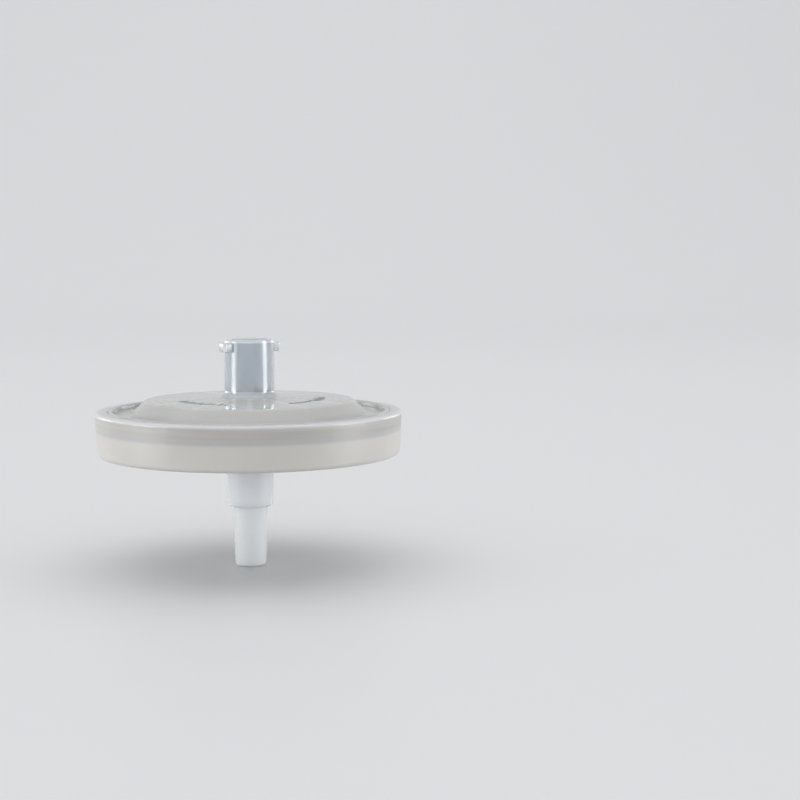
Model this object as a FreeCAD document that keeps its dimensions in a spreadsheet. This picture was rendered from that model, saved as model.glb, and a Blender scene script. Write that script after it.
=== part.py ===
import FreeCAD
import Part
import os
import math
import Sketcher

# A disposable 33 mm syringe filter: two moulded polypropylene shells clamp a membrane disc, and a ring
# moulded over both flanges holds them together. +Z runs up the flow axis from the outlet to the inlet, and
# the origin is the centre of the outlet spout's end. Lengths are in millimetres and angles in degrees.

document = FreeCAD.newDocument("SyringeFilter")
sheet = document.addObject("Spreadsheet::Sheet", "Sizes")


class Size:
    """A number with the sheet expression that gives it, so that sums of sizes stay bound to the sheet."""

    def __init__(self, number, text):
        self.number = number
        self.text = text

    def __add__(self, other):
        other = asSize(other)
        return Size(self.number + other.number, f"({self.text} + {other.text})")

    def __sub__(self, other):
        other = asSize(other)
        return Size(self.number - other.number, f"({self.text} - {other.text})")

    def __mul__(self, other):
        other = asSize(other)
        return Size(self.number * other.number, f"({self.text} * {other.text})")

    def __truediv__(self, other):
        other = asSize(other)
        return Size(self.number / other.number, f"({self.text} / {other.text})")


def asSize(value):
    if isinstance(value, Size):
        return value
    return Size(float(value), repr(value))


def drive(name, value):
    """Writes one driving dimension into the next row of the sheet and gives its size back."""
    drive.row += 1
    sheet.set(f"A{drive.row}", name)
    sheet.set(f"B{drive.row}", str(value))
    sheet.setAlias(f"B{drive.row}", name)
    return Size(float(value), f"Sizes.{name}")


drive.row = 0


def cosine(angle):
    return Size(math.cos(math.radians(angle.number)), f"cos({angle.text} * 1 deg)")


def sine(angle):
    return Size(math.sin(math.radians(angle.number)), f"sin({angle.text} * 1 deg)")


zero = asSize(0)

# Heights above the spout's end.
spoutHeight = drive("spout_height", 7.7)
stageHeight = drive("stage_height", 6.77)
plateauRise = drive("plateau_rise", 1.33)
hubHeight = drive("hub_height", 7.66)

# The membrane and what clamps it.
membraneRadius = drive("membrane_radius", 16.5)
membraneThickness = drive("membrane_thickness", 0.2)
membraneGap = drive("membrane_gap", 0.1)
clampWidth = drive("clamp_width", 1.9)

# The flanges that the ring grips, and the lip that closes its mould on the inlet side.
weldLand = drive("weld_land", 1.62)
flangeWall = drive("flange_wall", 1.2)
flangeOverlap = drive("flange_overlap", 0.36)
lipWidth = drive("lip_width", 0.7)
lipProud = drive("lip_proud", 0.13)
shoulderDrop = drive("shoulder_drop", 0.44)
plateWall = drive("plate_wall", 2.3)

# The ring moulded over both flanges.
ringWall = drive("ring_wall", 1.18)
ringDraft = drive("ring_draft", 0.21)
ringUpperLip = drive("ring_upper_lip", 1.79)
ringLowerLip = drive("ring_lower_lip", 1.35)
ringGap = drive("ring_gap", 0.02)
ringTopChamfer = drive("ring_top_chamfer", 0.3)
ringBottomChamfer = drive("ring_bottom_chamfer", 0.5)

# The plateau and its sloping edge.
slopeWidth = drive("slope_width", 1.85)
slopeInset = drive("slope_inset", 2.15)

# The inlet hub: a female Luer lock with a 6 % socket taper.
socketMouthRadius = drive("socket_mouth_radius", 2.15)
socketChamfer = drive("socket_chamfer", 0.14)
socketFloorWall = drive("socket_floor_wall", 1.76)
luerTaper = drive("luer_taper", 0.06)
inletPortRadius = drive("inlet_port_radius", 1.0)
hubWall = drive("hub_wall", 1.01)
hubFootWidth = drive("hub_foot_width", 0.64)
hubFootRise = drive("hub_foot_rise", 0.7)
hubEdgeChamfer = drive("hub_edge_chamfer", 0.2)

# The two lock lugs.
lugRise = drive("lug_rise", 0.74)
lugDrop = drive("lug_drop", 0.38)
lugThickness = drive("lug_thickness", 1.17)
lugFootAngle = drive("lug_foot_angle", -7)
lugRampAngle = drive("lug_ramp_angle", 15)
lugArcAngle = drive("lug_arc_angle", 39)
lugRoot = drive("lug_root", 0.4)
lugEdgeChamfer = drive("lug_edge_chamfer", 0.16)
lugCount = drive("lug_count", 2)

# The inlet chamber: radial ribs and a few of the fine concentric ridges on its ceiling.
ribCount = drive("rib_count", 12)
ribWidth = drive("rib_width", 0.6)
ribClearance = drive("rib_clearance", 0.15)
ridgeFirstRadius = drive("ridge_first_radius", 4.12)
ridgeMargin = drive("ridge_margin", 2.32)
ridgeWidth = drive("ridge_width", 0.5)
ridgeHeight = drive("ridge_height", 0.45)
ridgeCount = 3

# The membrane support in the outlet shell: ring-shaped drains crossed by radial channels.
drainFirstRadius = drive("drain_first_radius", 6.4)
drainMargin = drive("drain_margin", 1.6)
drainWidth = drive("drain_width", 0.8)
drainDepth = drive("drain_depth", 0.7)
drainCount = 2
channelCount = drive("channel_count", 8)
channelWidth = drive("channel_width", 0.8)

# The outlet spout: a male Luer slip on a thicker stage.
spoutEndRadius = drive("spout_end_radius", 2.0)
spoutEndChamfer = drive("spout_end_chamfer", 0.3)
outletPortRadius = drive("outlet_port_radius", 0.9)
stageStep = drive("stage_step", 0.749)
stageChamfer = drive("stage_chamfer", 0.35)
stageFootWidth = drive("stage_foot_width", 0.7)
stageFootRise = drive("stage_foot_rise", 0.7)

document.recompute()

# Places worked out once from the sizes above and shared by the pieces that meet there.
ringBottom = spoutHeight + stageHeight
undersideShoulder = ringBottom + shoulderDrop
outletFlangeBottom = ringBottom + ringLowerLip
partingPlane = outletFlangeBottom + flangeWall
membraneTop = partingPlane + membraneThickness
ribBottom = membraneTop + ribClearance
inletFlangeTop = partingPlane + flangeWall
ringTop = inletFlangeTop + ringUpperLip
shoulderTop = ringTop - shoulderDrop
plateauTop = ringTop + plateauRise
chamberCeiling = plateauTop - plateWall
socketFloor = chamberCeiling + socketFloorWall
hubTop = plateauTop + hubHeight
pocketRadius = membraneRadius + membraneGap
chamberRadius = membraneRadius - clampWidth
flangeRadius = pocketRadius + weldLand
ringRadius = flangeRadius + ringWall
ringLipRadius = flangeRadius - flangeOverlap
lipOuterRadius = ringLipRadius - ringGap
lipInnerRadius = lipOuterRadius - lipWidth
slopeFootRadius = lipInnerRadius - slopeInset
slopeTopRadius = slopeFootRadius - slopeWidth
ridgePitch = (chamberRadius - ridgeMargin - ridgeFirstRadius) / (ridgeCount - 1)
drainPitch = (chamberRadius - drainMargin - drainFirstRadius) / (drainCount - 1)
hubRadius = socketMouthRadius + hubWall
lugRadius = hubRadius + lugRise
socketFloorRadius = socketMouthRadius - (hubTop - socketFloor) * luerTaper / 2
spoutRootRadius = spoutEndRadius + spoutHeight * luerTaper / 2
stageRadius = spoutRootRadius + stageStep


def originPlane(body, role):
    return next(feature for feature in body.Origin.OriginFeatures if feature.Role == role)


def newBody(label):
    body = document.addObject("PartDesign::Body", label)
    body.Label = label
    body.Placement = FreeCAD.Placement()
    return body


def newSketch(body, name, role, height=None):
    sketch = body.newObject("Sketcher::SketchObject", name)
    sketch.AttachmentSupport = [(originPlane(body, role), "")]
    sketch.MapMode = "FlatFace"
    if height is not None:
        sketch.AttachmentOffset = FreeCAD.Placement(FreeCAD.Vector(0, 0, height.number), FreeCAD.Rotation())
        sketch.setExpression("AttachmentOffset.Base.z", height.text)
    return sketch


def pin(sketch, kind, geometry, point, size):
    """Holds one coordinate of a sketch point to its sheet expression."""
    index = sketch.addConstraint(Sketcher.Constraint(kind, -1, 1, geometry, point, size.number))
    sketch.setExpression(f"Constraints[{index}]", size.text)


def drawOutline(sketch, corners):
    """A closed outline of straight sides through corners given as pairs of sizes."""
    first = sketch.GeometryCount
    count = len(corners)
    places = [FreeCAD.Vector(across.number, up.number, 0) for across, up in corners]
    for side in range(count):
        sketch.addGeometry(Part.LineSegment(places[side], places[(side + 1) % count]), False)
    for side in range(count):
        following = first + (side + 1) % count
        sketch.addConstraint(Sketcher.Constraint("Coincident", first + side, 2, following, 1))
    for side, (across, up) in enumerate(corners):
        pin(sketch, "DistanceX", first + side, 1, across)
        pin(sketch, "DistanceY", first + side, 1, up)


def revolve(body, kind, name, sketch):
    turned = body.newObject(kind, name)
    turned.Profile = (sketch, [""])
    turned.ReferenceAxis = (sketch, ["V_Axis"])
    turned.Angle = 360
    body.Tip = turned
    return turned


def extrude(body, kind, name, sketch, length):
    block = body.newObject(kind, name)
    block.Profile = (sketch, [""])
    block.Length = length.number
    block.setExpression("Length", length.text)
    body.Tip = block
    return block


def repeatRound(body, name, feature, sketch, count):
    """Repeats a feature round the flow axis."""
    pattern = body.newObject("PartDesign::PolarPattern", name)
    pattern.Originals = [feature]
    pattern.Axis = (sketch, ["N_Axis"])
    pattern.Angle = 360
    pattern.Occurrences = int(count.number)
    pattern.setExpression("Occurrences", count.text)
    body.Tip = pattern
    return pattern


def circlesAt(feature, radius, height):
    """Names the circles of a feature that run round the flow axis at a radius and a height."""
    document.recompute()
    names = []
    for index, edge in enumerate(feature.Shape.Edges, start=1):
        curve = edge.Curve
        if not isinstance(curve, Part.Circle):
            continue
        centre = curve.Center
        offAxis = math.hypot(centre.x, centre.y)
        if offAxis + abs(curve.Radius - radius.number) + abs(centre.z - height.number) < 1e-4:
            names.append(f"Edge{index}")
    return names


def breakEdges(body, name, base, width, edges):
    """Chamfers the named edges."""
    chamfer = body.newObject("PartDesign::Chamfer", name)
    chamfer.Base = (base, edges)
    chamfer.Size = width.number
    chamfer.setExpression("Size", width.text)
    body.Tip = chamfer
    document.recompute()
    return chamfer


def makeInletHousing():
    body = newBody("inlet_housing")
    section = newSketch(body, "InletSection", "XZ_Plane")
    drawOutline(section, [
        (inletPortRadius, chamberCeiling),
        (inletPortRadius, socketFloor),
        (socketFloorRadius, socketFloor),
        (socketMouthRadius - socketChamfer * luerTaper / 2, hubTop - socketChamfer),
        (socketMouthRadius + socketChamfer, hubTop),
        (hubRadius, hubTop),
        (hubRadius, plateauTop + hubFootRise),
        (hubRadius + hubFootWidth, plateauTop),
        (slopeTopRadius, plateauTop),
        (slopeFootRadius, shoulderTop),
        (lipInnerRadius, shoulderTop),
        (lipInnerRadius, ringTop + lipProud),
        (lipOuterRadius, ringTop + lipProud),
        (lipOuterRadius, inletFlangeTop - ringGap),
        (flangeRadius - ringGap, inletFlangeTop - ringGap),
        (flangeRadius - ringGap, partingPlane),
        (pocketRadius, partingPlane),
        (pocketRadius, membraneTop),
        (chamberRadius, membraneTop),
        (chamberRadius, chamberCeiling),
    ])
    revolve(body, "PartDesign::Revolution", "InletShell", section)

    ridges = newSketch(body, "RidgeSection", "XZ_Plane")
    for ring in range(ridgeCount):
        middle = ridgeFirstRadius + ridgePitch * ring
        drawOutline(ridges, [
            (middle - ridgeWidth / 2, chamberCeiling),
            (middle, chamberCeiling - ridgeHeight),
            (middle + ridgeWidth / 2, chamberCeiling),
        ])
    revolve(body, "PartDesign::Revolution", "Ridges", ridges)

    ribSketch = newSketch(body, "RibPlan", "XY_Plane", ribBottom)
    drawOutline(ribSketch, [
        (inletPortRadius + ribWidth, zero - ribWidth / 2),
        (chamberRadius + ribClearance, zero - ribWidth / 2),
        (chamberRadius + ribClearance, ribWidth / 2),
        (inletPortRadius + ribWidth, ribWidth / 2),
    ])
    rib = extrude(body, "PartDesign::Pad", "Rib", ribSketch, chamberCeiling - ribBottom)
    repeatRound(body, "Ribs", rib, ribSketch, ribCount)

    lugSketch = newSketch(body, "LugPlan", "XY_Plane", hubTop - lugDrop - lugThickness)
    drawLug(lugSketch)
    lug = extrude(body, "PartDesign::Pad", "Lug", lugSketch, lugThickness)
    lugs = repeatRound(body, "Lugs", lug, lugSketch, lugCount)

    hubEdge = breakEdges(body, "HubEdge", lugs, hubEdgeChamfer, circlesAt(lugs, hubRadius, hubTop))
    breakEdges(body, "LugEdges", hubEdge, lugEdgeChamfer, lugEdges(hubEdge))
    return body


def drawLug(sketch):
    """One lug in plan: a ramp rising from the hub, an arc at the full radius and a square end."""
    rampTop = lugFootAngle + lugRampAngle
    arcEnd = rampTop + lugArcAngle
    rootRadius = hubRadius - lugRoot
    corners = [
        (rootRadius * cosine(lugFootAngle), rootRadius * sine(lugFootAngle)),
        (hubRadius * cosine(lugFootAngle), hubRadius * sine(lugFootAngle)),
        (lugRadius * cosine(rampTop), lugRadius * sine(rampTop)),
        (lugRadius * cosine(arcEnd), lugRadius * sine(arcEnd)),
        (rootRadius * cosine(arcEnd), rootRadius * sine(arcEnd)),
    ]
    places = [FreeCAD.Vector(across.number, up.number, 0) for across, up in corners]
    middleAngle = math.radians(rampTop.number + lugArcAngle.number / 2)
    crest = FreeCAD.Vector(math.cos(middleAngle), math.sin(middleAngle), 0) * lugRadius.number
    sketch.addGeometry(Part.LineSegment(places[0], places[1]), False)
    sketch.addGeometry(Part.LineSegment(places[1], places[2]), False)
    sketch.addGeometry(Part.Arc(places[2], crest, places[3]), False)
    sketch.addGeometry(Part.LineSegment(places[3], places[4]), False)
    sketch.addGeometry(Part.LineSegment(places[4], places[0]), False)
    sketch.addConstraint(Sketcher.Constraint("Coincident", 0, 2, 1, 1))
    sketch.addConstraint(Sketcher.Constraint("Coincident", 1, 2, 2, 1))
    sketch.addConstraint(Sketcher.Constraint("Coincident", 2, 2, 3, 1))
    sketch.addConstraint(Sketcher.Constraint("Coincident", 3, 2, 4, 1))
    sketch.addConstraint(Sketcher.Constraint("Coincident", 4, 2, 0, 1))
    sketch.addConstraint(Sketcher.Constraint("Coincident", 2, 3, -1, 1))
    for geometry, corner in ((0, 0), (1, 1), (2, 2), (4, 4)):
        pin(sketch, "DistanceX", geometry, 1, corners[corner][0])
        pin(sketch, "DistanceY", geometry, 1, corners[corner][1])
    pin(sketch, "DistanceX", 3, 1, corners[3][0])


def lugEdges(feature):
    """The outer edges of the lugs: every edge that lies wholly outside the hub's wall at the lugs' height."""
    bottom = hubTop.number - lugDrop.number - lugThickness.number
    top = hubTop.number - lugDrop.number
    names = []
    for index, edge in enumerate(feature.Shape.Edges, start=1):
        box = edge.BoundBox
        if box.ZMin < bottom - 1e-4 or box.ZMax > top + 1e-4:
            continue
        ends = [math.hypot(vertex.X, vertex.Y) for vertex in edge.Vertexes]
        if min(ends) > hubRadius.number + 0.02:
            names.append(f"Edge{index}")
    return names


def makeMembrane():
    body = newBody("membrane")
    disc = newSketch(body, "MembranePlan", "XY_Plane", partingPlane)
    circle = Part.Circle(FreeCAD.Vector(0, 0, 0), FreeCAD.Vector(0, 0, 1), membraneRadius.number)
    disc.addGeometry(circle, False)
    disc.addConstraint(Sketcher.Constraint("Coincident", 0, 3, -1, 1))
    index = disc.addConstraint(Sketcher.Constraint("Radius", 0, membraneRadius.number))
    disc.setExpression(f"Constraints[{index}]", membraneRadius.text)
    extrude(body, "PartDesign::Pad", "MembraneDisc", disc, membraneThickness)
    return body


def makeOutletHousing():
    body = newBody("outlet_housing")
    section = newSketch(body, "OutletSection", "XZ_Plane")
    drawOutline(section, [
        (outletPortRadius, zero),
        (spoutEndRadius, zero),
        (spoutRootRadius, spoutHeight),
        (stageRadius, spoutHeight),
        (stageRadius, undersideShoulder - stageFootRise),
        (stageRadius + stageFootWidth, undersideShoulder),
        (lipOuterRadius, undersideShoulder),
        (lipOuterRadius, outletFlangeBottom + ringGap),
        (flangeRadius - ringGap, outletFlangeBottom + ringGap),
        (flangeRadius - ringGap, partingPlane),
        (outletPortRadius, partingPlane),
    ])
    shell = revolve(body, "PartDesign::Revolution", "OutletShell", section)
    document.recompute()
    solidVolume = shell.Shape.Volume

    drains = newSketch(body, "DrainSection", "XZ_Plane")
    for ring in range(drainCount):
        middle = drainFirstRadius + drainPitch * ring
        drawOutline(drains, [
            (middle - drainWidth / 2, partingPlane - drainDepth),
            (middle + drainWidth / 2, partingPlane - drainDepth),
            (middle + drainWidth / 2, partingPlane),
            (middle - drainWidth / 2, partingPlane),
        ])
    drainRings = revolve(body, "PartDesign::Groove", "DrainRings", drains)
    document.recompute()
    grooveVolume = drainRings.Shape.Volume

    channelPlan = newSketch(body, "ChannelPlan", "XY_Plane", partingPlane)
    channelEnd = drainFirstRadius + drainPitch * (drainCount - 1)
    drawOutline(channelPlan, [
        (outletPortRadius / 2, zero - channelWidth / 2),
        (channelEnd, zero - channelWidth / 2),
        (channelEnd, channelWidth / 2),
        (outletPortRadius / 2, channelWidth / 2),
    ])
    channel = extrude(body, "PartDesign::Pocket", "Channel", channelPlan, drainDepth)
    channels = repeatRound(body, "Channels", channel, channelPlan, channelCount)
    document.recompute()
    if not channels.Shape.Volume < grooveVolume < solidVolume:
        raise RuntimeError("the drains or channels cut nothing")

    stageEdge = circlesAt(channels, stageRadius, spoutHeight)
    stage = breakEdges(body, "StageEdge", channels, stageChamfer, stageEdge)
    breakEdges(body, "SpoutEnd", stage, spoutEndChamfer, circlesAt(stage, spoutEndRadius, zero))
    return body


def makeSealRing():
    body = newBody("seal_ring")
    section = newSketch(body, "RingSection", "XZ_Plane")
    ringFootRadius = ringRadius - ringDraft
    drawOutline(section, [
        (ringLipRadius, ringBottom),
        (ringFootRadius, ringBottom),
        (ringRadius, ringTop),
        (ringLipRadius, ringTop),
        (ringLipRadius, inletFlangeTop),
        (flangeRadius, inletFlangeTop),
        (flangeRadius, outletFlangeBottom),
        (ringLipRadius, outletFlangeBottom),
    ])
    hoop = revolve(body, "PartDesign::Revolution", "RingHoop", section)
    topEdge = breakEdges(body, "RingTopEdge", hoop, ringTopChamfer, circlesAt(hoop, ringRadius, ringTop))
    foot = circlesAt(topEdge, ringFootRadius, ringBottom)
    breakEdges(body, "RingBottomEdge", topEdge, ringBottomChamfer, foot)
    return body


pieces = [makeInletHousing(), makeMembrane(), makeOutletHousing(), makeSealRing()]
document.recompute()

for thing in document.Objects:
    if "Invalid" in thing.State or "Error" in thing.State:
        raise RuntimeError(f"{thing.Label} did not build: {thing.State}")
for piece in pieces:
    if piece.Shape.isNull() or not piece.Shape.isValid():
        raise RuntimeError(f"{piece.Label} has no valid shape")

os.makedirs("parts", exist_ok=True)
for piece in pieces:
    piece.Shape.exportStep(f"parts/{piece.Label}.step")
    box = piece.Shape.BoundBox
    print(f"{piece.Label}: {piece.Shape.Volume:.2f} mm3, z {box.ZMin:.3f} to {box.ZMax:.3f}")
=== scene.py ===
import math

import bmesh
import bpy
from mathutils import Matrix, Vector


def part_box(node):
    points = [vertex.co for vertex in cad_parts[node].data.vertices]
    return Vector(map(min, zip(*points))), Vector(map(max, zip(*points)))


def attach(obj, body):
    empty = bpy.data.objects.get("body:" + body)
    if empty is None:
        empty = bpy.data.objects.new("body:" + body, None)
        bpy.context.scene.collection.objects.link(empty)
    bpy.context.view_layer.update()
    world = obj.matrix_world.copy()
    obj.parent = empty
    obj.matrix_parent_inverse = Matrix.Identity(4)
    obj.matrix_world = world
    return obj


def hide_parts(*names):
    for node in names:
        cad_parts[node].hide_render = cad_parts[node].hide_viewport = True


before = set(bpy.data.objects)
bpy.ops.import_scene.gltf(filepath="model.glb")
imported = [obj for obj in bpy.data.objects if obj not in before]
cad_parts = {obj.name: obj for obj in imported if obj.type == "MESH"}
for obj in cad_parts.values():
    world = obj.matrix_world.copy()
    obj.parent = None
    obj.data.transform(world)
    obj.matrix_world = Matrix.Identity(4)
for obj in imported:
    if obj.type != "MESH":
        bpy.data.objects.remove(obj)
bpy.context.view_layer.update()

# The part's sizes are in millimetres and its angles in degrees.
# Its meshes are scaled to metres as they are made.
mm = 0.001


def nodeSpan(node):
    # The outer radius, bottom and top of a round CAD node.
    low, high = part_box(node)
    return high.x / mm, low.z / mm, high.z / mm


flangeRadius, partingPlane, hubTop = nodeSpan("inlet_housing")
filmRadius, filmTop = nodeSpan("membrane")[::2]
ringRadius, ringBottom, ringTop = nodeSpan("seal_ring")

shared = {
    "hair": 0.01,             # keeps faces that touch from lying in one plane
    "ringLipRadius": 17.86,   # inside of the ring's lips
    "ringGap": 0.02,
    "flangeWall": 1.2,
    "arcStep": 18,
    "spokePlaces": (-1.0, -0.5, 0.0, 0.5, 1.0),   # of the columns across a spoke, in half widths
    "weld": 0.0005,           # points nearer than this become one
    "sharpAngle": 38,
}
lipRadius = shared["ringLipRadius"] - shared["ringGap"]
flangeTop = partingPlane + shared["flangeWall"]
flangeBottom = partingPlane - shared["flangeWall"]


# Paths are lists of (radius, height) points, and rows are such points with facts for the turning.

def vectors(*pairs):
    return [Vector(pair) for pair in pairs]


def softPath(corners, closed=False):
    # Corners are (radius, height) or (radius, height, rounding). A rounded corner becomes a tangent arc.
    places = [Vector(corner[:2]) for corner in corners]
    points = []
    for index, corner in enumerate(corners):
        here = places[index]
        isEnd = not closed and index in (0, len(corners) - 1)
        if len(corner) < 3 or isEnd:
            points.append(here)
            continue
        back = (places[index - 1] - here).normalized()
        ahead = (places[(index + 1) % len(corners)] - here).normalized()
        half = back.angle(ahead) / 2
        start = here + back * corner[2] / math.tan(half)
        centre = here + (back + ahead).normalized() * corner[2] / math.sin(half)
        sweep = math.pi - 2 * half
        turn = 1 if (start - centre).cross(here - centre) > 0 else -1
        steps = max(2, math.ceil(math.degrees(sweep) / shared["arcStep"]))
        for step in range(steps + 1):
            points.append(centre + Matrix.Rotation(turn * sweep * step / steps, 2) @ (start - centre))
    return points


def divided(points, longest):
    # Long straight runs get points of their own.
    result = [points[0]]
    for before, after in zip(points, points[1:]):
        count = max(1, math.ceil((after - before).length / longest))
        result += [before.lerp(after, step / count) for step in range(1, count + 1)]
    return result


def rowsOf(points, **facts):
    return [dict(radius=point.x, height=point.y, **facts) for point in points]


def columnList(spokes):
    # Going round from +Y, each sector has columns along its spoke and then columns across the gap beside it.
    columns = []
    for sector in range(spokes["count"]):
        start = math.pi / 2 + sector * 2 * math.pi / spokes["count"]
        for place in shared["spokePlaces"]:
            columns.append({"start": start, "spoke": place})
        for step in range(spokes["gapSteps"] + 1):
            columns.append({"start": start, "gap": step / spokes["gapSteps"]})
    return columns


def columnAngle(column, radius, spokes):
    half = math.asin(spokes["width"] / 2 / max(radius, spokes["innerRadius"]))
    if "spoke" in column:
        return column["start"] + column["spoke"] * half
    return column["start"] + half + column["gap"] * (2 * math.pi / spokes["count"] - 2 * half)


def turnedMesh(name, rows, spokes, lugs=None):
    # Turns a closed loop of rows round the axis. A row with a floor drops its spoke columns to that height.
    # A row with an inset follows the lugs' outline. A warp is the share by which a row's columns turn to it.
    columns = columnList(spokes)
    lugSteps = lugColumns(columns, spokes, lugs) if lugs else {}
    mesh = bmesh.new()
    grid = []
    for row in rows:
        line = []
        for index, column in enumerate(columns):
            radius, height = row["radius"], row["height"]
            angle = columnAngle(column, radius, spokes)
            if "floor" in row and "spoke" in column:
                height = min(height, row["floor"])
            if index in lugSteps and "inset" in row:
                radius, angle = lugPoint(lugs, lugSteps[index], row["inset"])
            elif index in lugSteps and "warp" in row:
                followed = lugPoint(lugs, lugSteps[index], 0.0)[1]
                angle += row["warp"] * math.remainder(followed - angle, 2 * math.pi)
            spot = (radius * math.cos(angle) * mm, radius * math.sin(angle) * mm, height * mm)
            line.append(mesh.verts.new(spot))
        grid.append(line)
    for above, below in zip(grid, grid[1:] + grid[:1]):
        for index in range(len(columns)):
            beside = (index + 1) % len(columns)
            mesh.faces.new((above[index], above[beside], below[beside], below[index]))
    bmesh.ops.remove_doubles(mesh, verts=mesh.verts, dist=shared["weld"] * mm)
    return finishedPiece(name, mesh)


def finishedPiece(name, mesh):
    bmesh.ops.recalc_face_normals(mesh, faces=mesh.faces)
    data = bpy.data.meshes.new(name)
    mesh.to_mesh(data)
    mesh.free()
    data.shade_smooth()
    data.set_sharp_from_angle(angle=math.radians(shared["sharpAngle"]))
    piece = bpy.data.objects.new(name, data)
    bpy.context.scene.collection.objects.link(piece)
    evened = piece.modifiers.new("evenShading", "WEIGHTED_NORMAL")
    evened.keep_sharp = True
    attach(piece, "root")
    print(f"{name}: {len(data.polygons)} faces")
    return piece


# The lock lugs, seen from above: a ramped lead-in, a crest of one radius and a steep end that leans.

lugs = {
    "count": 2,
    "hubRadius": 3.16,
    "crestRadius": 3.9,
    "foot": -7,
    "rampTop": 8,
    "end": 47,
    "endLean": 2.5,
    "margin": 4,
    "steps": (24, 60, 120, 36, 24),   # on the hub, ramp, crest, end and hub
    "softening": 14,
    "points": 400,
    "drop": 0.38,
    "thickness": 1.17,
    "edgeRound": 0.16,
    "edgeArc": (0, 30, 60, 90),
    "edgeGrowth": 3,                  # the edge's rounding is full a third of the way out to the crest
}


def lugPath(lugs):
    # A fine line along one lug: up the ramp off the hub, along the crest, down the steep end, then softened.
    def at(radius, angle):
        return Vector((math.cos(math.radians(angle)), math.sin(math.radians(angle)))) * radius

    hub, crest = lugs["hubRadius"], lugs["crestRadius"]
    foot, end, margin = lugs["foot"], lugs["end"], lugs["margin"]
    endFoot = end + lugs["endLean"]
    corners = [(hub, foot - margin), (hub, foot), (crest, lugs["rampTop"]), (crest, end), (hub, endFoot),
               (hub, endFoot + margin)]
    path = []
    for count, start, goal in zip(lugs["steps"], corners, corners[1:]):
        for step in range(count):
            radius, angle = [a + (b - a) * step / count for a, b in zip(start, goal)]
            path.append(at(radius, angle))
    path.append(at(*corners[-1]))
    for _ in range(lugs["softening"]):
        inner = [(a + b * 2 + c) / 4 for a, b, c in zip(path, path[1:], path[2:])]
        path = path[:1] + inner + path[-1:]
    return path


def evenLength(path, count):
    # The same path with its points the same distance apart.
    lengths = [0.0]
    for before, after in zip(path, path[1:]):
        lengths.append(lengths[-1] + (after - before).length)
    result = []
    index = 0
    for step in range(count):
        goal = lengths[-1] * step / (count - 1)
        while index < len(path) - 2 and lengths[index + 1] < goal:
            index += 1
        share = (goal - lengths[index]) / (lengths[index + 1] - lengths[index])
        result.append(path[index].lerp(path[index + 1], min(1.0, share)))
    return result


def lugColumns(columns, spokes, lugs):
    # The columns that run over a lug. Each follows its own share of the outline's length.
    first = math.radians(lugs["foot"] - lugs["margin"])
    span = math.radians(lugs["end"] + lugs["endLean"] + lugs["margin"]) - first
    steps = {}
    for lug in range(lugs["count"]):
        turn = lug * 2 * math.pi / lugs["count"]
        over = [index for index, column in enumerate(columns)
                if (columnAngle(column, lugs["hubRadius"], spokes) - turn - first) % (2 * math.pi) < span]
        for place, index in enumerate(over):
            steps[index] = (turn, place / (len(over) - 1))
    return steps


def lugPoint(lugs, step, inset):
    # The radius and angle of a point of the outline, moved inward by the inset but never into the hub.
    turn, share = step
    path = lugs["path"]
    place = share * (len(path) - 1)
    index = min(int(place), len(path) - 2)
    along = path[index + 1] - path[index]
    spot = path[index] + along * (place - index)
    outward = Vector((along.y, -along.x)).normalized()
    rise = (spot.length - lugs["hubRadius"]) / (lugs["crestRadius"] - lugs["hubRadius"])
    spot -= outward * inset * min(1.0, max(0.0, rise) * lugs["edgeGrowth"])
    return max(lugs["hubRadius"], spot.length), turn + math.atan2(spot.y, spot.x)


lugs["path"] = evenLength(lugPath(lugs), lugs["points"])


# The inlet housing: one closed loop from the chamber under the plateau, round the outside and into the hub.

inlet = {
    "portRadius": 1.0,
    "socketDepth": 8.2,
    "mouthRadius": 2.15,
    "mouthBreak": 0.14,
    "luerTaper": 0.06,
    "footRadius": 3.8,
    "footRise": 0.7,
    "tubeStart": 1.6,         # of the plain tube, above the plateau
    "tubeSteps": 8,
    "socketBand": 1.0,        # between the last cone row and the socket's floor
    "crown": 0.26,
    "plateauEdge": 1.33,      # above the ring's top
    "slopeTop": 13.2,
    "slopeFoot": 15.0,
    "shoulderDrop": 0.44,
    "lipWidth": 0.69,
    "lipProud": 0.13,
    "clampRadius": 14.6,
    "pocketGap": 0.1,
    "plateWall": 2.3,
    "ribClearance": 0.15,
    "longestRun": 1.0,
    "rounds": {
        "ceiling": 0.4,
        "lip": 0.28,
        "lipFoot": 0.14,
        "slopeFoot": 0.8,
        "slopeTop": 0.5,
        "hubFoot": 0.12,
        "tubeFoot": 0.5,
        "hubEdge": 0.22,
        "mouthEdge": 0.05,
        "socket": 0.25,
        "port": 0.1,
    },
}
ribs = {"count": 12, "width": 0.6, "innerRadius": 1.6, "gapSteps": 10}
fineRings = {
    "first": 3.1,
    "pitch": 1.02,
    "count": 11,
    "width": 0.5,
    "height": 0.42,
    "section": ((-0.5, 0), (-0.22, 0.85), (0, 1), (0.22, 0.85), (0.5, 0)),   # shares of width and height
}

plateauEdge = ringTop + inlet["plateauEdge"]
plateauTop = plateauEdge + inlet["crown"]
shoulderTop = ringTop - inlet["shoulderDrop"]
ceiling = plateauEdge - inlet["plateWall"]


def eased(share):
    # The share, changing gently near 0 and 1.
    return share * share * (3 - 2 * share)


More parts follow.
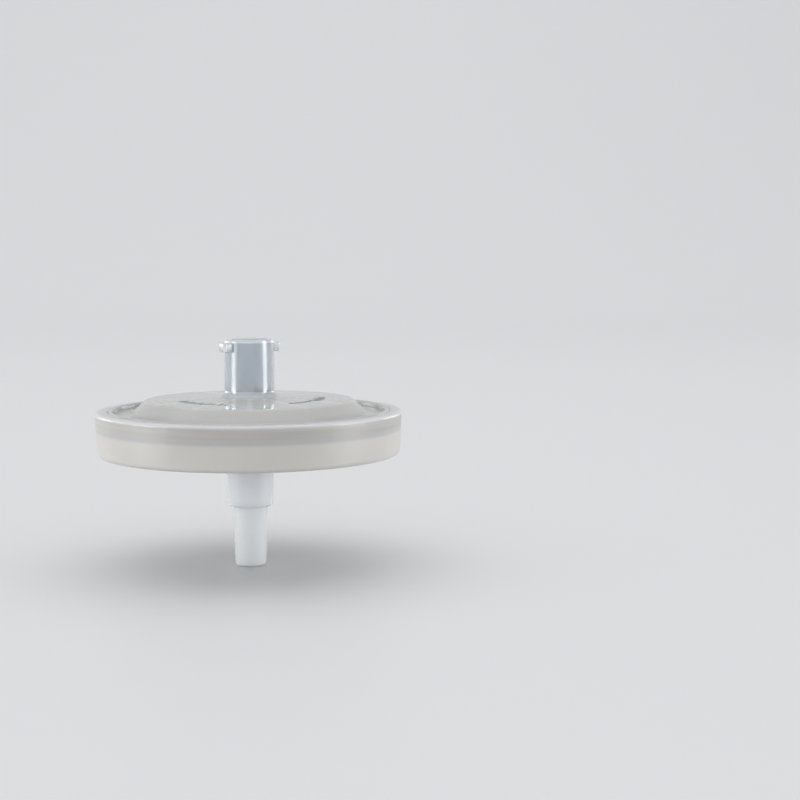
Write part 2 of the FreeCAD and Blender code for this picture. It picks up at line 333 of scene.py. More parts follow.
def chamberRows():
    # The chamber's roof with its fine rings. The spoke columns drop to the lower edge of the ribs.
    floor = filmTop + inlet["ribClearance"]
    wall = inlet["clampRadius"]
    rows = rowsOf(vectors((inlet["portRadius"], ceiling), (ribs["innerRadius"], ceiling)))
    points = vectors((ribs["innerRadius"], ceiling))
    for ring in range(fineRings["count"]):
        middle = fineRings["first"] + fineRings["pitch"] * ring
        for across, drop in fineRings["section"]:
            points += vectors((middle + across * fineRings["width"], ceiling - drop * fineRings["height"]))
    points += softPath([points[-1], (wall, ceiling, inlet["rounds"]["ceiling"]), (wall, floor)])[1:]
    rows += rowsOf(points, floor=floor)
    return rows + rowsOf(vectors((wall, floor), (wall, filmTop + shared["hair"])))


def inletOutsideRows():
    # From the membrane's pocket round the flange and the lip, and over the plateau to the hub.
    hair = shared["hair"]
    rounds = inlet["rounds"]
    pocket = filmRadius + inlet["pocketGap"]
    lipInner = lipRadius - inlet["lipWidth"]
    lipTop = ringTop + inlet["lipProud"]
    path = softPath([
        (pocket, filmTop + hair),
        (pocket, partingPlane + hair),
        (flangeRadius, partingPlane + hair),
        (flangeRadius, flangeTop - shared["ringGap"]),
        (lipRadius, flangeTop - shared["ringGap"]),
        (lipRadius, lipTop, rounds["lip"]),
        (lipInner, lipTop, rounds["lip"]),
        (lipInner, shoulderTop, rounds["lipFoot"]),
        (inlet["slopeFoot"], shoulderTop, rounds["slopeFoot"]),
        (inlet["slopeTop"], plateauEdge, rounds["slopeTop"]),
        (inlet["footRadius"], plateauTop, rounds["hubFoot"]),
        (lugs["hubRadius"], plateauTop + inlet["footRise"], rounds["tubeFoot"]),
        (lugs["hubRadius"], plateauTop + inlet["tubeStart"]),
    ])
    return rowsOf(divided(path, inlet["longestRun"]))


def tubeRows():
    # The hub's outside. Its columns drift over to the lugs' own before they meet them.
    hub = lugs["hubRadius"]
    lugTop = hubTop - lugs["drop"]
    lugBottom = lugTop - lugs["thickness"]
    start = plateauTop + inlet["tubeStart"]
    rows = []
    for step in range(1, inlet["tubeSteps"] + 1):
        share = step / inlet["tubeSteps"]
        rows += rowsOf(vectors((hub, start + (lugBottom - start) * share)), warp=eased(share))
    edge = lugs["edgeRound"]
    arc = [math.radians(angle) for angle in lugs["edgeArc"]]
    below = [(edge * (1 - math.sin(a)), lugBottom + edge * (1 - math.cos(a))) for a in arc]
    above = [(inset, lugBottom + lugTop - height) for inset, height in reversed(below)]
    for inset, height in below + above:
        rows += rowsOf(vectors((hub, height)), inset=inset)
    return rows


def socketRows():
    # The hub's top edge, the conical socket and its floor.
    hub, mouth, depth = lugs["hubRadius"], inlet["mouthRadius"], inlet["socketDepth"]
    mouthBreak, band = inlet["mouthBreak"], inlet["socketBand"]
    rounds = inlet["rounds"]
    end = softPath([
        (hub, hubTop - lugs["drop"]),
        (hub, hubTop, rounds["hubEdge"]),
        (mouth + mouthBreak, hubTop, rounds["mouthEdge"]),
        (mouth, hubTop - mouthBreak),
    ])
    rows = rowsOf(end, warp=1.0)
    taper = inlet["luerTaper"] / 2
    for step in range(1, inlet["tubeSteps"] + 1):
        down = mouthBreak + (depth - band - mouthBreak) * step / inlet["tubeSteps"]
        share = 1 - step / inlet["tubeSteps"]
        rows += rowsOf(vectors((mouth - down * taper, hubTop - down)), warp=eased(share))
    socketFloor = hubTop - depth
    bottom = softPath([
        (mouth - (depth - band) * taper, socketFloor + band),
        (mouth - depth * taper, socketFloor, rounds["socket"]),
        (inlet["portRadius"], socketFloor, rounds["port"]),
        (inlet["portRadius"], ceiling),
    ])
    return rows + rowsOf(bottom[1:-1])


inletRows = chamberRows() + inletOutsideRows() + tubeRows() + socketRows()
inletPiece = turnedMesh("inlet_shell", inletRows, ribs, lugs)
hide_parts("inlet_housing")


# The outlet housing: up the outside of the spout, round the flange, across the drains and down the bore.

outlet = {
    "boreRadius": 0.9,
    "boreEnd": 0.2,           # height of the bore's lowest row
    "tipRadius": 2.0,
    "coneHeight": 7.7,
    "coneRootRadius": 2.231,
    "stageRadius": 2.96,
    "stageRootRadius": 3.0,
    "footWidth": 0.7,
    "undersideRise": 0.44,
    "drainDepth": 0.7,
    "drainWidth": 0.8,
    "drainRadii": (6.4, 13.0),
    "longestRun": 1.2,
    "boreRun": 2.5,
    "rounds": {
        "tip": 0.35,
        "cone": 0.12,
        "stage": 0.42,
        "foot": 0.4,
        "lip": 0.1,
    },
}
channels = {"count": 8, "width": 0.8, "innerRadius": 1.3, "gapSteps": 16}


def outletRows():
    # The spoke columns drop to the floor of the channels. The drains are two grooves that cross them.
    top = partingPlane - shared["hair"]
    underside = ringBottom + outlet["undersideRise"]
    floor = top - outlet["drainDepth"]
    bore, root, run = outlet["boreRadius"], outlet["stageRootRadius"], outlet["longestRun"]
    rounds = outlet["rounds"]
    spout = softPath([
        (bore, 0.0),
        (outlet["tipRadius"], 0.0, rounds["tip"]),
        (outlet["coneRootRadius"], outlet["coneHeight"], rounds["cone"]),
        (outlet["stageRadius"], outlet["coneHeight"], rounds["stage"]),
        (root, underside - outlet["footWidth"], rounds["foot"]),
        (root + outlet["footWidth"], underside, rounds["foot"]),
        (lipRadius, underside, rounds["lip"]),
        (lipRadius, flangeBottom + shared["ringGap"]),
        (flangeRadius, flangeBottom + shared["ringGap"]),
        (flangeRadius, top),
    ])
    rows = rowsOf(divided(spout, run))
    half = outlet["drainWidth"] / 2
    inner, outer = outlet["drainRadii"]
    rows += rowsOf(vectors((outer + half, top), (outer + half, floor), (outer - half, floor)))
    rows += rowsOf(divided(vectors((outer - half, top), (inner + half, top)), run), floor=floor)
    rows += rowsOf(vectors((inner + half, floor), (inner - half, floor)))
    rows += rowsOf(divided(vectors((inner - half, top), (bore, top)), run), floor=floor)
    return rows + rowsOf(divided(vectors((bore, floor), (bore, outlet["boreEnd"])), outlet["boreRun"]))


outletPiece = turnedMesh("outlet_shell", outletRows(), channels)
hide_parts("outlet_housing")


# The ring moulded over both flanges.

ring = {"footInset": 0.21, "topRound": 0.35, "footRound": 0.65, "lipRound": 0.08, "longestRun": 1.2}
plainTurn = {"count": 24, "width": 0.4, "innerRadius": 1.0, "gapSteps": 6}   # columns only, without spokes


def ringRows():
    inner = shared["ringLipRadius"]
    cavity = flangeRadius + shared["ringGap"]
    path = softPath([
        (inner, ringBottom, ring["lipRound"]),
        (ringRadius - ring["footInset"], ringBottom, ring["footRound"]),
        (ringRadius, ringTop, ring["topRound"]),
        (inner, ringTop, ring["lipRound"]),
        (inner, flangeTop),
        (cavity, flangeTop),
        (cavity, flangeBottom),
        (inner, flangeBottom),
    ], closed=True)
    return rowsOf(divided(path, ring["longestRun"]))


ringPiece = turnedMesh("edge_ring", ringRows(), plainTurn)
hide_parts("seal_ring")


# The print on the plateau: plain bars and dots in three groups.

marks = {
    "innerRadius": 8.2,
    "outerRadius": 9.6,
    "thickness": 0.02,
    "sunk": 0.25,             # share of the thickness that lies in the plastic
    "barWidth": 0.34,
    "barGroups": ({"middle": 228, "pitch": 5.4, "count": 10}, {"middle": 347, "pitch": 5.4, "count": 6}),
    "trim": 0.4,              # share of its length that every second bar loses
    "dotGroup": {"middle": 315, "pitch": 6.5, "count": 4},
    "dotRadius": 0.4,
    "dotSides": 24,
}


def plateauHeight(radius):
    share = (inlet["slopeTop"] - radius) / (inlet["slopeTop"] - inlet["footRadius"])
    return plateauEdge + inlet["crown"] * share


def flatMark(mesh, outline):
    # A closed outline in plan, lying just on the plastic and following its slope.
    rings = []
    for lift in (-marks["thickness"] * marks["sunk"], marks["thickness"]):
        rings.append([mesh.verts.new(Vector((x, y, plateauHeight(math.hypot(x, y)) + lift)) * mm)
                      for x, y in outline])
    bottom, top = rings
    mesh.faces.new(top)
    mesh.faces.new(bottom[::-1])
    for index in range(len(outline)):
        beside = (index + 1) % len(outline)
        mesh.faces.new((bottom[index], bottom[beside], top[beside], top[index]))


def groupAngles(group):
    return [group["middle"] + group["pitch"] * (index - (group["count"] - 1) / 2)
            for index in range(group["count"])]


def barMark(angle, inner, outer, width):
    turn = math.radians(angle)
    along = Vector((math.cos(turn), math.sin(turn)))
    across = Vector((-along.y, along.x)) * width / 2
    return [along * inner - across, along * outer - across, along * outer + across, along * inner + across]


def dotMark(angle, radius, size):
    turn = math.radians(angle)
    middle = Vector((math.cos(turn), math.sin(turn))) * radius
    around = [step * 2 * math.pi / marks["dotSides"] for step in range(marks["dotSides"])]
    return [middle + Vector((math.cos(way), math.sin(way))) * size for way in around]


def printPiece():
    mesh = bmesh.new()
    inner, outer = marks["innerRadius"], marks["outerRadius"]
    for group in marks["barGroups"]:
        for index, angle in enumerate(groupAngles(group)):
            trimmed = marks["trim"] * (outer - inner) * (index % 2)
            flatMark(mesh, barMark(angle, inner + trimmed, outer, marks["barWidth"]))
    for angle in groupAngles(marks["dotGroup"]):
        flatMark(mesh, dotMark(angle, (inner + outer) / 2, marks["dotRadius"]))
    return finishedPiece("plateau_print", mesh)


inkPiece = printPiece()


# Helpers for shader nodes.

def newGroup(name, inputs, outputs):
    group = bpy.data.node_groups.new(name, "ShaderNodeTree")
    for label, kind, value in inputs:
        socket = group.interface.new_socket(label, in_out="INPUT", socket_type=kind)
        socket.default_value = value
    for label, kind in outputs:
        group.interface.new_socket(label, in_out="OUTPUT", socket_type=kind)
    return group, group.nodes.new("NodeGroupInput"), group.nodes.new("NodeGroupOutput")


def addNode(tree, kind, **values):
    # Values name a property of the node, or an input of it.
    node = tree.nodes.new(kind)
    for name, value in values.items():
        if hasattr(node, name):
            setattr(node, name, value)
        else:
            node.inputs[name.replace("_", " ")].default_value = value
    return node


def join(tree, *pairs):
    for source, target in pairs:
        tree.links.new(source, target)


def plainMaterial(name, **values):
    material = bpy.data.materials.new(name)
    material.use_nodes = True
    tree = material.node_tree
    shader = tree.nodes["Principled BSDF"]
    for label, value in values.items():
        shader.inputs[label.replace("_", " ")].default_value = value
    return material, tree, shader


# Milky moulded plastic: slow cloudiness from uneven cooling, and the faint texture of the mould's polish.
# The scales of textures are per metre.

moulding = {
    "cloudScale": 130.0,
    "cloudEdges": (0.35, 0.68),
    "polishScale": 1500.0,
    "grainScale": 5200.0,
    "grainHeight": 0.25,
    "bumpDepth": 0.004,
    "ior": 1.49,
}


def mouldedSurface():
    group, given, result = newGroup("moulded_surface", [
        ("Colour", "NodeSocketColor", (0.8, 0.8, 0.8, 1)),
        ("Cloud Colour", "NodeSocketColor", (0.7, 0.7, 0.7, 1)),
        ("Roughness", "NodeSocketFloat", 0.2),
        ("Roughness Spread", "NodeSocketFloat", 0.1),
    ], [("Colour", "NodeSocketColor"), ("Roughness", "NodeSocketFloat"), ("Height", "NodeSocketFloat")])
    place = addNode(group, "ShaderNodeTexCoord")
    clouds = addNode(group, "ShaderNodeTexNoise", Scale=moulding["cloudScale"], Detail=3.0, Roughness=0.55)
    polish = addNode(group, "ShaderNodeTexNoise", Scale=moulding["polishScale"], Detail=2.0, Roughness=0.6)
    grain = addNode(group, "ShaderNodeTexNoise", Scale=moulding["grainScale"], Detail=1.0)
    low, high = moulding["cloudEdges"]
    soft = addNode(group, "ShaderNodeMapRange", interpolation_type="SMOOTHSTEP", From_Min=low, From_Max=high)
    blend = addNode(group, "ShaderNodeMix", data_type="RGBA")
    rough = addNode(group, "ShaderNodeMath", operation="MULTIPLY_ADD")
    height = addNode(group, "ShaderNodeMath", operation="MULTIPLY_ADD")
    height.inputs[1].default_value = moulding["grainHeight"]
    for texture in (clouds, polish, grain):
        join(group, (place.outputs["Object"], texture.inputs["Vector"]))
    join(group,
         (clouds.outputs["Fac"], soft.inputs["Value"]),
         (soft.outputs["Result"], blend.inputs["Factor"]),
         (given.outputs["Colour"], blend.inputs["A"]),
         (given.outputs["Cloud Colour"], blend.inputs["B"]),
         (blend.outputs["Result"], result.inputs["Colour"]),
         (polish.outputs["Fac"], rough.inputs[0]),
         (given.outputs["Roughness Spread"], rough.inputs[1]),
         (given.outputs["Roughness"], rough.inputs[2]),
         (rough.outputs["Value"], result.inputs["Roughness"]),
         (grain.outputs["Fac"], height.inputs[0]),
         (polish.outputs["Fac"], height.inputs[2]),
         (height.outputs["Value"], result.inputs["Height"]))
    return group


surfaceGroup = mouldedSurface()


def plasticMaterial(name, look):
    material, tree, shader = plainMaterial(
        name,
        IOR=moulding["ior"],
        Transmission_Weight=look["transmission"],
        Subsurface_Weight=look["scatter"],
        Subsurface_Radius=[reach * mm for reach in look["scatterReach"]],
        Subsurface_Scale=1.0,
        Coat_Weight=look["coat"],
        Coat_Roughness=look["coatRoughness"],
    )
    surface = addNode(tree, "ShaderNodeGroup", node_tree=surfaceGroup)
    surface.inputs["Colour"].default_value = look["colour"]
    surface.inputs["Cloud Colour"].default_value = look["cloudColour"]
    surface.inputs["Roughness"].default_value = look["roughness"]
    surface.inputs["Roughness Spread"].default_value = look["roughnessSpread"]
    bump = addNode(tree, "ShaderNodeBump", Strength=look["bump"], Distance=moulding["bumpDepth"] * mm)
    join(tree,
         (surface.outputs["Colour"], shader.inputs["Base Color"]),
         (surface.outputs["Roughness"], shader.inputs["Roughness"]),
         (surface.outputs["Height"], bump.inputs["Height"]),
         (bump.outputs["Normal"], shader.inputs["Normal"]))
    return material


discLook = {
    "colour": (0.55, 0.545, 0.53, 1),
    "cloudColour": (0.525, 0.52, 0.51, 1),
    "roughness": 0.36,
    "roughnessSpread": 0.08,
    "bump": 0.1,
    "transmission": 0.32,
    "scatter": 0.5,
    "scatterReach": (0.8, 0.8, 0.7),
    "coat": 0.8,
    "coatRoughness": 0.10,
}
hubLook = {
    "colour": (0.66, 0.71, 0.75, 1),
    "cloudColour": (0.635, 0.69, 0.73, 1),
    "roughness": 0.16,
    "roughnessSpread": 0.06,
    "bump": 0.1,
    "transmission": 0.72,
    "scatter": 0.7,
    "scatterReach": (1.0, 1.0, 1.2),
    "coat": 1.0,
    "coatRoughness": 0.12,
}
# A paler copy of the hub's polypropylene: painted light on the hub's rim, lugs and foot.
litCollarLook = {
    "colour": (0.71, 0.745, 0.77, 1),
    "cloudColour": (0.685, 0.72, 0.745, 1),
    "roughness": 0.18,
    "roughnessSpread": 0.06,
    "bump": 0.1,
    "transmission": 0.5,
    "scatter": 0.8,
    "scatterReach": (1.2, 1.2, 1.3),
    "coat": 0.9,
    "coatRoughness": 0.16,
}
# A whiter copy of the disc's polypropylene: painted light on the spout under the disc.
litSpoutLook = {
    "colour": (0.84, 0.87, 0.895, 1),
    "cloudColour": (0.82, 0.85, 0.875, 1),
    "roughness": 0.16,
    "roughnessSpread": 0.06,
    "bump": 0.1,
    "transmission": 0.25,
    "scatter": 0.8,
    "scatterReach": (2.0, 2.0, 2.2),
    "coat": 1.0,
    "coatRoughness": 0.14,
}
ringLook = {
    "colour": (0.67, 0.655, 0.62, 1),
    "cloudColour": (0.645, 0.635, 0.605, 1),
    "roughness": 0.30,
    "roughnessSpread": 0.08,
    "bump": 0.15,
    "transmission": 0.32,
    "scatter": 0.7,
    "scatterReach": (1.5, 1.5, 1.4),
    "coat": 0.35,
    "coatRoughness": 0.35,
}
plateauPlastic = plasticMaterial("plateau_polypropylene", discLook)
basePlastic = plasticMaterial("base_polypropylene", discLook)
hubPlastic = plasticMaterial("hub_polypropylene", hubLook)
litCollarPlastic = plasticMaterial("lit_collar_polypropylene", litCollarLook)
litSpoutPlastic = plasticMaterial("lit_spout_polypropylene", litSpoutLook)
ringPlastic = plasticMaterial("ring_polypropylene", ringLook)


# Painted light and shade: what lies inside the plastic is painted onto its colour as the light and shade that
# would show through it.

def baseColour(material):
    tree = material.node_tree
    shader = tree.nodes["Principled BSDF"]
    return tree, shader, shader.inputs["Base Color"].links[0].from_socket


def partSpot(tree):
    # A point's place on the part, as a vector and as its three numbers.
    place = addNode(tree, "ShaderNodeTexCoord")
    spot = addNode(tree, "ShaderNodeSeparateXYZ")
    join(tree, (place.outputs["Object"], spot.inputs["Vector"]))
    return place.outputs["Object"], spot.outputs


def reckoned(tree, operation, *terms):
    # A term is a number or another node's output.
    node = addNode(tree, "ShaderNodeMath", operation=operation)
    for socket, term in zip(node.inputs, terms):
        if isinstance(term, (int, float)):
            socket.default_value = term
        else:
            join(tree, (term, socket))
    return node.outputs["Value"]


def fadeMask(tree, value, solid, gone):
    # One at the solid distance and nothing at the gone one, both in millimetres.
    node = addNode(tree, "ShaderNodeMapRange", interpolation_type="SMOOTHSTEP")
    node.inputs["From Min"].default_value = gone * mm
    node.inputs["From Max"].default_value = solid * mm
    join(tree, (value, node.inputs["Value"]))
    return node.outputs["Result"]


def tinted(tree, under, mask, colour):
    node = addNode(tree, "ShaderNodeMix", data_type="RGBA")
    node.inputs["B"].default_value = colour
    join(tree, (under, node.inputs["A"]), (mask, node.inputs["Factor"]))
    return node.outputs["Result"]


paintedRingShade = {
    "colour": (0.475, 0.47, 0.45, 1),     # painted shade where the flanges' edges lie behind the ring
    # painted reflection line inside the ring, near the flanges' seam
    "reflectionLineColour": (0.52, 0.525, 0.52, 1),
    "height": 0.95,                       # of the line, above the parting plane
    "lineHalf": 0.5,
    "fade": 0.3,
    # painted reflection streaks: lighter bands in the painted shade that run round the ring
    "streakScale": (30, 30, 1100),
    "streakEdges": (0.35, 0.65),
    "streakDepth": 0.6,
    # painted highlight: the ring lighter near its top, where the light from above falls
    "topHighlightColour": (0.70, 0.715, 0.725, 1),
    "topHighlightDepth": 0.5,
}


def paintRingShade(material):
    # Painted shade: the ring is darker where the flanges lie behind it, with a painted reflection line near
    # their seam and lighter painted reflection streaks that run round it. Near its top a painted highlight
    # whitens it.
    tree, shader, colour = baseColour(material)
    place, spot = partSpot(tree)
    stretch = addNode(tree, "ShaderNodeMapping")
    stretch.inputs["Scale"].default_value = paintedRingShade["streakScale"]
    streaks = addNode(tree, "ShaderNodeTexNoise", Scale=1.0, Detail=2.0)
    low, high = paintedRingShade["streakEdges"]
    depth = addNode(tree, "ShaderNodeMapRange", From_Min=low, From_Max=high,
                    To_Min=1 - paintedRingShade["streakDepth"])
    join(tree,
         (place, stretch.inputs["Vector"]),
         (stretch.outputs["Vector"], streaks.inputs["Vector"]),
         (streaks.outputs["Fac"], depth.inputs["Value"]))
    line = partingPlane + paintedRingShade["height"]
    aboveLine = fadeMask(tree, spot["Z"], line + paintedRingShade["fade"], line - paintedRingShade["lineHalf"])
    # Painted shade above the line, made lighter along the painted reflection streaks.
    flange = reckoned(tree, "MULTIPLY", aboveLine, depth.outputs["Result"])
    away = reckoned(tree, "ABSOLUTE", reckoned(tree, "SUBTRACT", spot["Z"], line * mm))
    onLine = fadeMask(tree, away, 0.0, paintedRingShade["lineHalf"])
    nearTop = fadeMask(tree, spot["Z"], ringTop, ringTop - paintedRingShade["topHighlightDepth"])
    # The painted shade, the painted reflection line and the painted highlight, in turn over the ring's
    # colour.
    colour = tinted(tree, colour, flange, paintedRingShade["colour"])
    colour = tinted(tree, colour, onLine, paintedRingShade["reflectionLineColour"])
    colour = tinted(tree, colour, nearTop, paintedRingShade["topHighlightColour"])
    join(tree, (colour, shader.inputs["Base Color"]))


paintedRibLight = {
    "colour": (0.76, 0.735, 0.67, 1),     # painted light: ribs and fine rings under the plateau, painted paler on it
    "ribHalf": (0.16, 0.5),
    "ringHalf": (0.06, 0.34),
    "ringStrength": 0.45,
    "strength": 0.85,
    "fade": (12.9, 13.6),
}


def paintRibLight(material):
    # Painted light: the radial ribs and fine rings below the plateau are real, and their paler look through
    # it is painted on as pale lines.
    tree, shader, colour = baseColour(material)
    place, spot = partSpot(tree)
    level = addNode(tree, "ShaderNodeVectorMath", operation="MULTIPLY")
    level.inputs[1].default_value = (1, 1, 0)
    length = addNode(tree, "ShaderNodeVectorMath", operation="LENGTH")
    join(tree,
         (place, level.inputs[0]),
         (level.outputs["Vector"], length.inputs[0]))
    radius = length.outputs["Value"]
    # A ping-pong over a half gives the distance to the nearest whole number.
    sector = 2 * math.pi / ribs["count"]
    sectors = reckoned(tree, "DIVIDE", reckoned(tree, "ARCTAN2", spot["Y"], spot["X"]), sector)
    angle = reckoned(tree, "MULTIPLY", reckoned(tree, "PINGPONG", sectors, 0.5), sector)
    fromRib = reckoned(tree, "MULTIPLY", angle, radius)
    pitch = fineRings["pitch"] * mm
    outward = reckoned(tree, "SUBTRACT", radius, fineRings["first"] * mm)
    pitches = reckoned(tree, "DIVIDE", outward, pitch)
    fromRing = reckoned(tree, "MULTIPLY", reckoned(tree, "PINGPONG", pitches, 0.5), pitch)
    onRib = fadeMask(tree, fromRib, *paintedRibLight["ribHalf"])
    ringMask = fadeMask(tree, fromRing, *paintedRibLight["ringHalf"])
    onRing = reckoned(tree, "MULTIPLY", ringMask, paintedRibLight["ringStrength"])
    mask = reckoned(tree, "MAXIMUM", onRib, onRing)
    mask = reckoned(tree, "MULTIPLY", mask, fadeMask(tree, radius, *paintedRibLight["fade"]))
    mask = reckoned(tree, "MULTIPLY", mask, paintedRibLight["strength"])
    # The painted light of the ribs, mixed into the plateau's colour.
    join(tree, (tinted(tree, colour, mask, paintedRibLight["colour"]), shader.inputs["Base Color"]))


# Painted shade, reflections and highlight on the ring.
paintRingShade(ringPlastic)
# Painted light of the ribs and fine rings on the plateau.
paintRibLight(plateauPlastic)


# Ink with thin places, and a matt microporous film with a fine grain.

inkLook = {
    "darkColour": (0.09, 0.15, 0.185, 1),
    "thinColour": (0.155, 0.215, 0.255, 1),
    "wearScale": 2600.0,
    "roughness": (0.25, 0.55),
    "specular": 0.4,
}
filmLook = {
    "poreColour": (0.80, 0.80, 0.78, 1),
    "colour": (0.90, 0.90, 0.89, 1),
    "grainScale": 9000.0,
    "grainDepth": 0.01,
    "bump": 0.3,
    "roughness": 0.85,
    "specular": 0.25,
}


def inkMaterial():
    material, tree, shader = plainMaterial("teal_ink", Specular_IOR_Level=inkLook["specular"])
    place = addNode(tree, "ShaderNodeTexCoord")
    wear = addNode(tree, "ShaderNodeTexNoise", Scale=inkLook["wearScale"], Detail=3.0)
    tones = addNode(tree, "ShaderNodeValToRGB")
    tones.color_ramp.elements[0].color = inkLook["darkColour"]
    tones.color_ramp.elements[1].color = inkLook["thinColour"]
    low, high = inkLook["roughness"]
    rough = addNode(tree, "ShaderNodeMapRange", To_Min=low, To_Max=high)
    join(tree,
         (place.outputs["Object"], wear.inputs["Vector"]),
         (wear.outputs["Fac"], tones.inputs["Fac"]),
         (tones.outputs["Color"], shader.inputs["Base Color"]),
         (wear.outputs["Fac"], rough.inputs["Value"]),
         (rough.outputs["Result"], shader.inputs["Roughness"]))
    return material


def filmMaterial():
    material, tree, shader = plainMaterial(
        "membrane_film",
        Roughness=filmLook["roughness"],
        Specular_IOR_Level=filmLook["specular"],
    )
    place = addNode(tree, "ShaderNodeTexCoord")
    grain = addNode(tree, "ShaderNodeTexNoise", Scale=filmLook["grainScale"], Detail=4.0, Roughness=0.7)
    tones = addNode(tree, "ShaderNodeValToRGB")
    tones.color_ramp.elements[0].color = filmLook["poreColour"]
    tones.color_ramp.elements[1].color = filmLook["colour"]
    bump = addNode(tree, "ShaderNodeBump", Strength=filmLook["bump"], Distance=filmLook["grainDepth"] * mm)
    join(tree,
         (place.outputs["Object"], grain.inputs["Vector"]),
         (grain.outputs["Fac"], tones.inputs["Fac"]),
         (tones.outputs["Color"], shader.inputs["Base Color"]),
         (grain.outputs["Fac"], bump.inputs["Height"]),
         (bump.outputs["Normal"], shader.inputs["Normal"]))
    return material


# Which plastic each face wears: slot 0 is the disc, and the tubes beyond it have slots of their own.

zones = {"abovePlateau": 0.1, "outsideTube": 0.05, "rimHeight": 0.35, "footHeight": 1.2, "belowFlange": 0.15}


def wearShell(piece, plastics, zoneOf):
    # Each face wears the plastic of the zone that its middle lies in.
    for plastic in plastics:
        piece.data.materials.append(plastic)
    for face in piece.data.polygons:
        spot = face.center / mm
        face.material_index = zoneOf(math.hypot(spot.x, spot.y), spot.z)


def inletZone(radius, height):
    # The disc is thick and milky, and the hub's tube is clearer.
    # The hub's rim, lugs and foot wear a paler copy of its plastic: painted light on them.
    if height < plateauTop + zones["abovePlateau"]:
        return 0
    isRim = height > hubTop - zones["rimHeight"]
    isLug = radius > lugs["hubRadius"] + zones["outsideTube"]
    isFoot = height < plateauTop + zones["footHeight"] and radius > inlet["mouthRadius"]
    return 2 if isRim or isLug or isFoot else 1


def outletZone(radius, height):
    # The spout wears a whiter copy of the disc's plastic: painted light that makes it brighter than the disc
    # above it.
    spoutRadius = outlet["stageRootRadius"] + outlet["footWidth"]
    spoutTop = ringBottom + outlet["undersideRise"] - zones["belowFlange"]
    return 1 if radius < spoutRadius and height < spoutTop else 0


wearShell(inletPiece, (plateauPlastic, hubPlastic, litCollarPlastic), inletZone)
wearShell(outletPiece, (basePlastic, litSpoutPlastic), outletZone)
ringPiece.data.materials.append(ringPlastic)
inkPiece.data.materials.append(inkMaterial())
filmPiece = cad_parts["membrane"]
filmPiece.data.materials.clear()
filmPiece.data.materials.append(filmMaterial())
print("materials made")


# The stage, the lamps and the camera are in metres, and their angles in degrees.

stage = {
    "width": 3.0,
    "front": -3.0,
    "back": 0.55,
    "sweepRadius": 0.60,
    "sweepSteps": 24,
    "wallTop": 1.6,
    "colour": (0.82, 0.82, 0.825, 1),
    "hazeScale": 60.0,
    "roughness": (0.40, 0.46),
}


def floorMaterial():
    material, tree, shader = plainMaterial("studio_floor", Base_Color=stage["colour"])
    place = addNode(tree, "ShaderNodeTexCoord")
    haze = addNode(tree, "ShaderNodeTexNoise", Scale=stage["hazeScale"], Detail=4.0)
    low, high = stage["roughness"]
    rough = addNode(tree, "ShaderNodeMapRange", To_Min=low, To_Max=high)
    join(tree,
         (place.outputs["Object"], haze.inputs["Vector"]),
         (haze.outputs["Fac"], rough.inputs["Value"]),
         (rough.outputs["Result"], shader.inputs["Roughness"]))
    return material


def sweepStage():
    # A floor that curves up into a wall behind the part.
    profile = [(stage["front"], 0.0), (stage["back"], 0.0)]
    for step in range(1, stage["sweepSteps"] + 1):
        angle = math.radians(90 * step / stage["sweepSteps"])
        profile.append((stage["back"] + stage["sweepRadius"] * math.sin(angle),
                        stage["sweepRadius"] * (1 - math.cos(angle))))
    profile.append((profile[-1][0], stage["wallTop"]))
    mesh = bmesh.new()
    left, right = [[mesh.verts.new((x, y, z)) for y, z in profile] for x in (-stage["width"], stage["width"])]
    for index in range(len(profile) - 1):
        mesh.faces.new((left[index], right[index], right[index + 1], left[index + 1]))
    data = bpy.data.meshes.new("studio_sweep")
    mesh.to_mesh(data)
    mesh.free()
    data.shade_smooth()
    data.materials.append(floorMaterial())
    sweep = bpy.data.objects.new("studio_sweep", data)
    bpy.context.scene.collection.objects.link(sweep)


sweepStage()

# All lamps but the top box light only the part, so that the floor is evenly lit.
# The two cards stand near the hub and show in it as bands.
lampAim = (0, 0, 0.017)
lamps = {
    "left_box": {"spot": (-0.50, 0.38, 0.09), "size": (0.36, 0.16), "power": 0.72},
    "right_box": {"spot": (0.54, 0.48, 0.09), "size": (0.30, 0.16), "power": 0.60},
    "left_strip": {"spot": (-0.53, -0.14, 0.14), "size": (0.07, 0.26), "power": 0.85},
    "right_strip": {"spot": (0.53, -0.14, 0.14), "size": (0.07, 0.26), "power": 0.85},
    "left_card": {"spot": (-0.156, -0.039, 0.0245), "size": (0.066, 0.045), "power": 0.042},
    "right_card": {"spot": (0.156, -0.039, 0.0245), "size": (0.066, 0.045), "power": 0.042},
    "front_box": {"spot": (-0.15, -0.85, 0.16), "size": (1.0, 0.30), "power": 1.5},
    "top_box": {"spot": (-0.05, 0.10, 0.95), "size": (1.3, 1.3), "power": 2.8, "partOnly": False},
}
litPart = bpy.data.collections.new("lit_part")
for piece in (inletPiece, outletPiece, ringPiece, inkPiece, filmPiece):
    litPart.objects.link(piece)


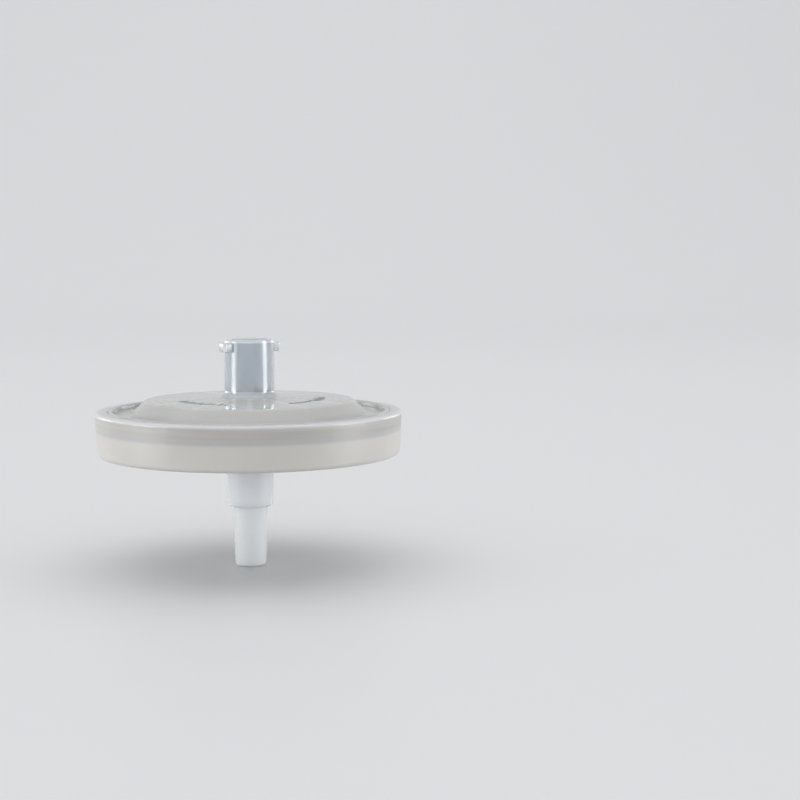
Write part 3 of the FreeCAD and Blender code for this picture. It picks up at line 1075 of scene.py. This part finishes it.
def softBox(name, spot, size, power, partOnly=True):
    # A rectangular lamp that faces the part. The camera sees it only mirrored in the plastic.
    data = bpy.data.lights.new(name, "AREA")
    data.shape = "RECTANGLE"
    data.size, data.size_y = size
    data.energy = power
    lamp = bpy.data.objects.new(name, data)
    lamp.location = spot
    lamp.rotation_euler = (Vector(lampAim) - Vector(spot)).to_track_quat("-Z", "Y").to_euler()
    lamp.visible_camera = False
    if partOnly:
        lamp.light_linking.receiver_collection = litPart
    bpy.context.scene.collection.objects.link(lamp)


for name, lamp in lamps.items():
    softBox(name, **lamp)

view = {
    "lens": 68.6,             # millimetres, as the sensor
    "sensor": 36,
    "clipStart": 0.005,
    "distance": 0.19428,
    "height": 0.039815,
    "turnRight": 5.66,
    "tiltDown": 5.492,
}


def placeCamera():
    # The camera stands a little higher than the part, and looks slightly down and over its right rim.
    data = bpy.data.cameras.new("camera")
    data.lens = view["lens"]
    data.sensor_width = view["sensor"]
    data.clip_start = view["clipStart"]
    camera = bpy.data.objects.new("camera", data)
    camera.location = (0, -view["distance"], view["height"])
    camera.rotation_euler = (math.radians(90 - view["tiltDown"]), 0, math.radians(-view["turnRight"]))
    bpy.context.scene.collection.objects.link(camera)
    bpy.context.scene.camera = camera


placeCamera()

worldLight = {"colour": (0.80, 0.81, 0.83, 1), "strength": 0.92, "seenStrength": 0.79}


def studioWorld():
    # An even light from all sides. Seen directly, mirrored or through plastic it has the far floor's tone.
    world = bpy.data.worlds.new("studio_world")
    world.use_nodes = True
    tree = world.node_tree
    background = tree.nodes["Background"]
    background.inputs["Color"].default_value = worldLight["colour"]
    ray = addNode(tree, "ShaderNodeLightPath")
    strength = addNode(tree, "ShaderNodeMapRange")
    strength.inputs["To Min"].default_value = worldLight["strength"]
    strength.inputs["To Max"].default_value = worldLight["seenStrength"]
    mirrored = reckoned(tree, "MAXIMUM", ray.outputs["Is Glossy Ray"], ray.outputs["Is Transmission Ray"])
    seen = reckoned(tree, "MAXIMUM", mirrored, ray.outputs["Is Camera Ray"])
    join(tree,
         (seen, strength.inputs["Value"]),
         (strength.outputs["Result"], background.inputs["Strength"]))
    bpy.context.scene.world = world


studioWorld()
bpy.context.scene.view_settings.view_transform = "Standard"
print("stage, light and camera placed")
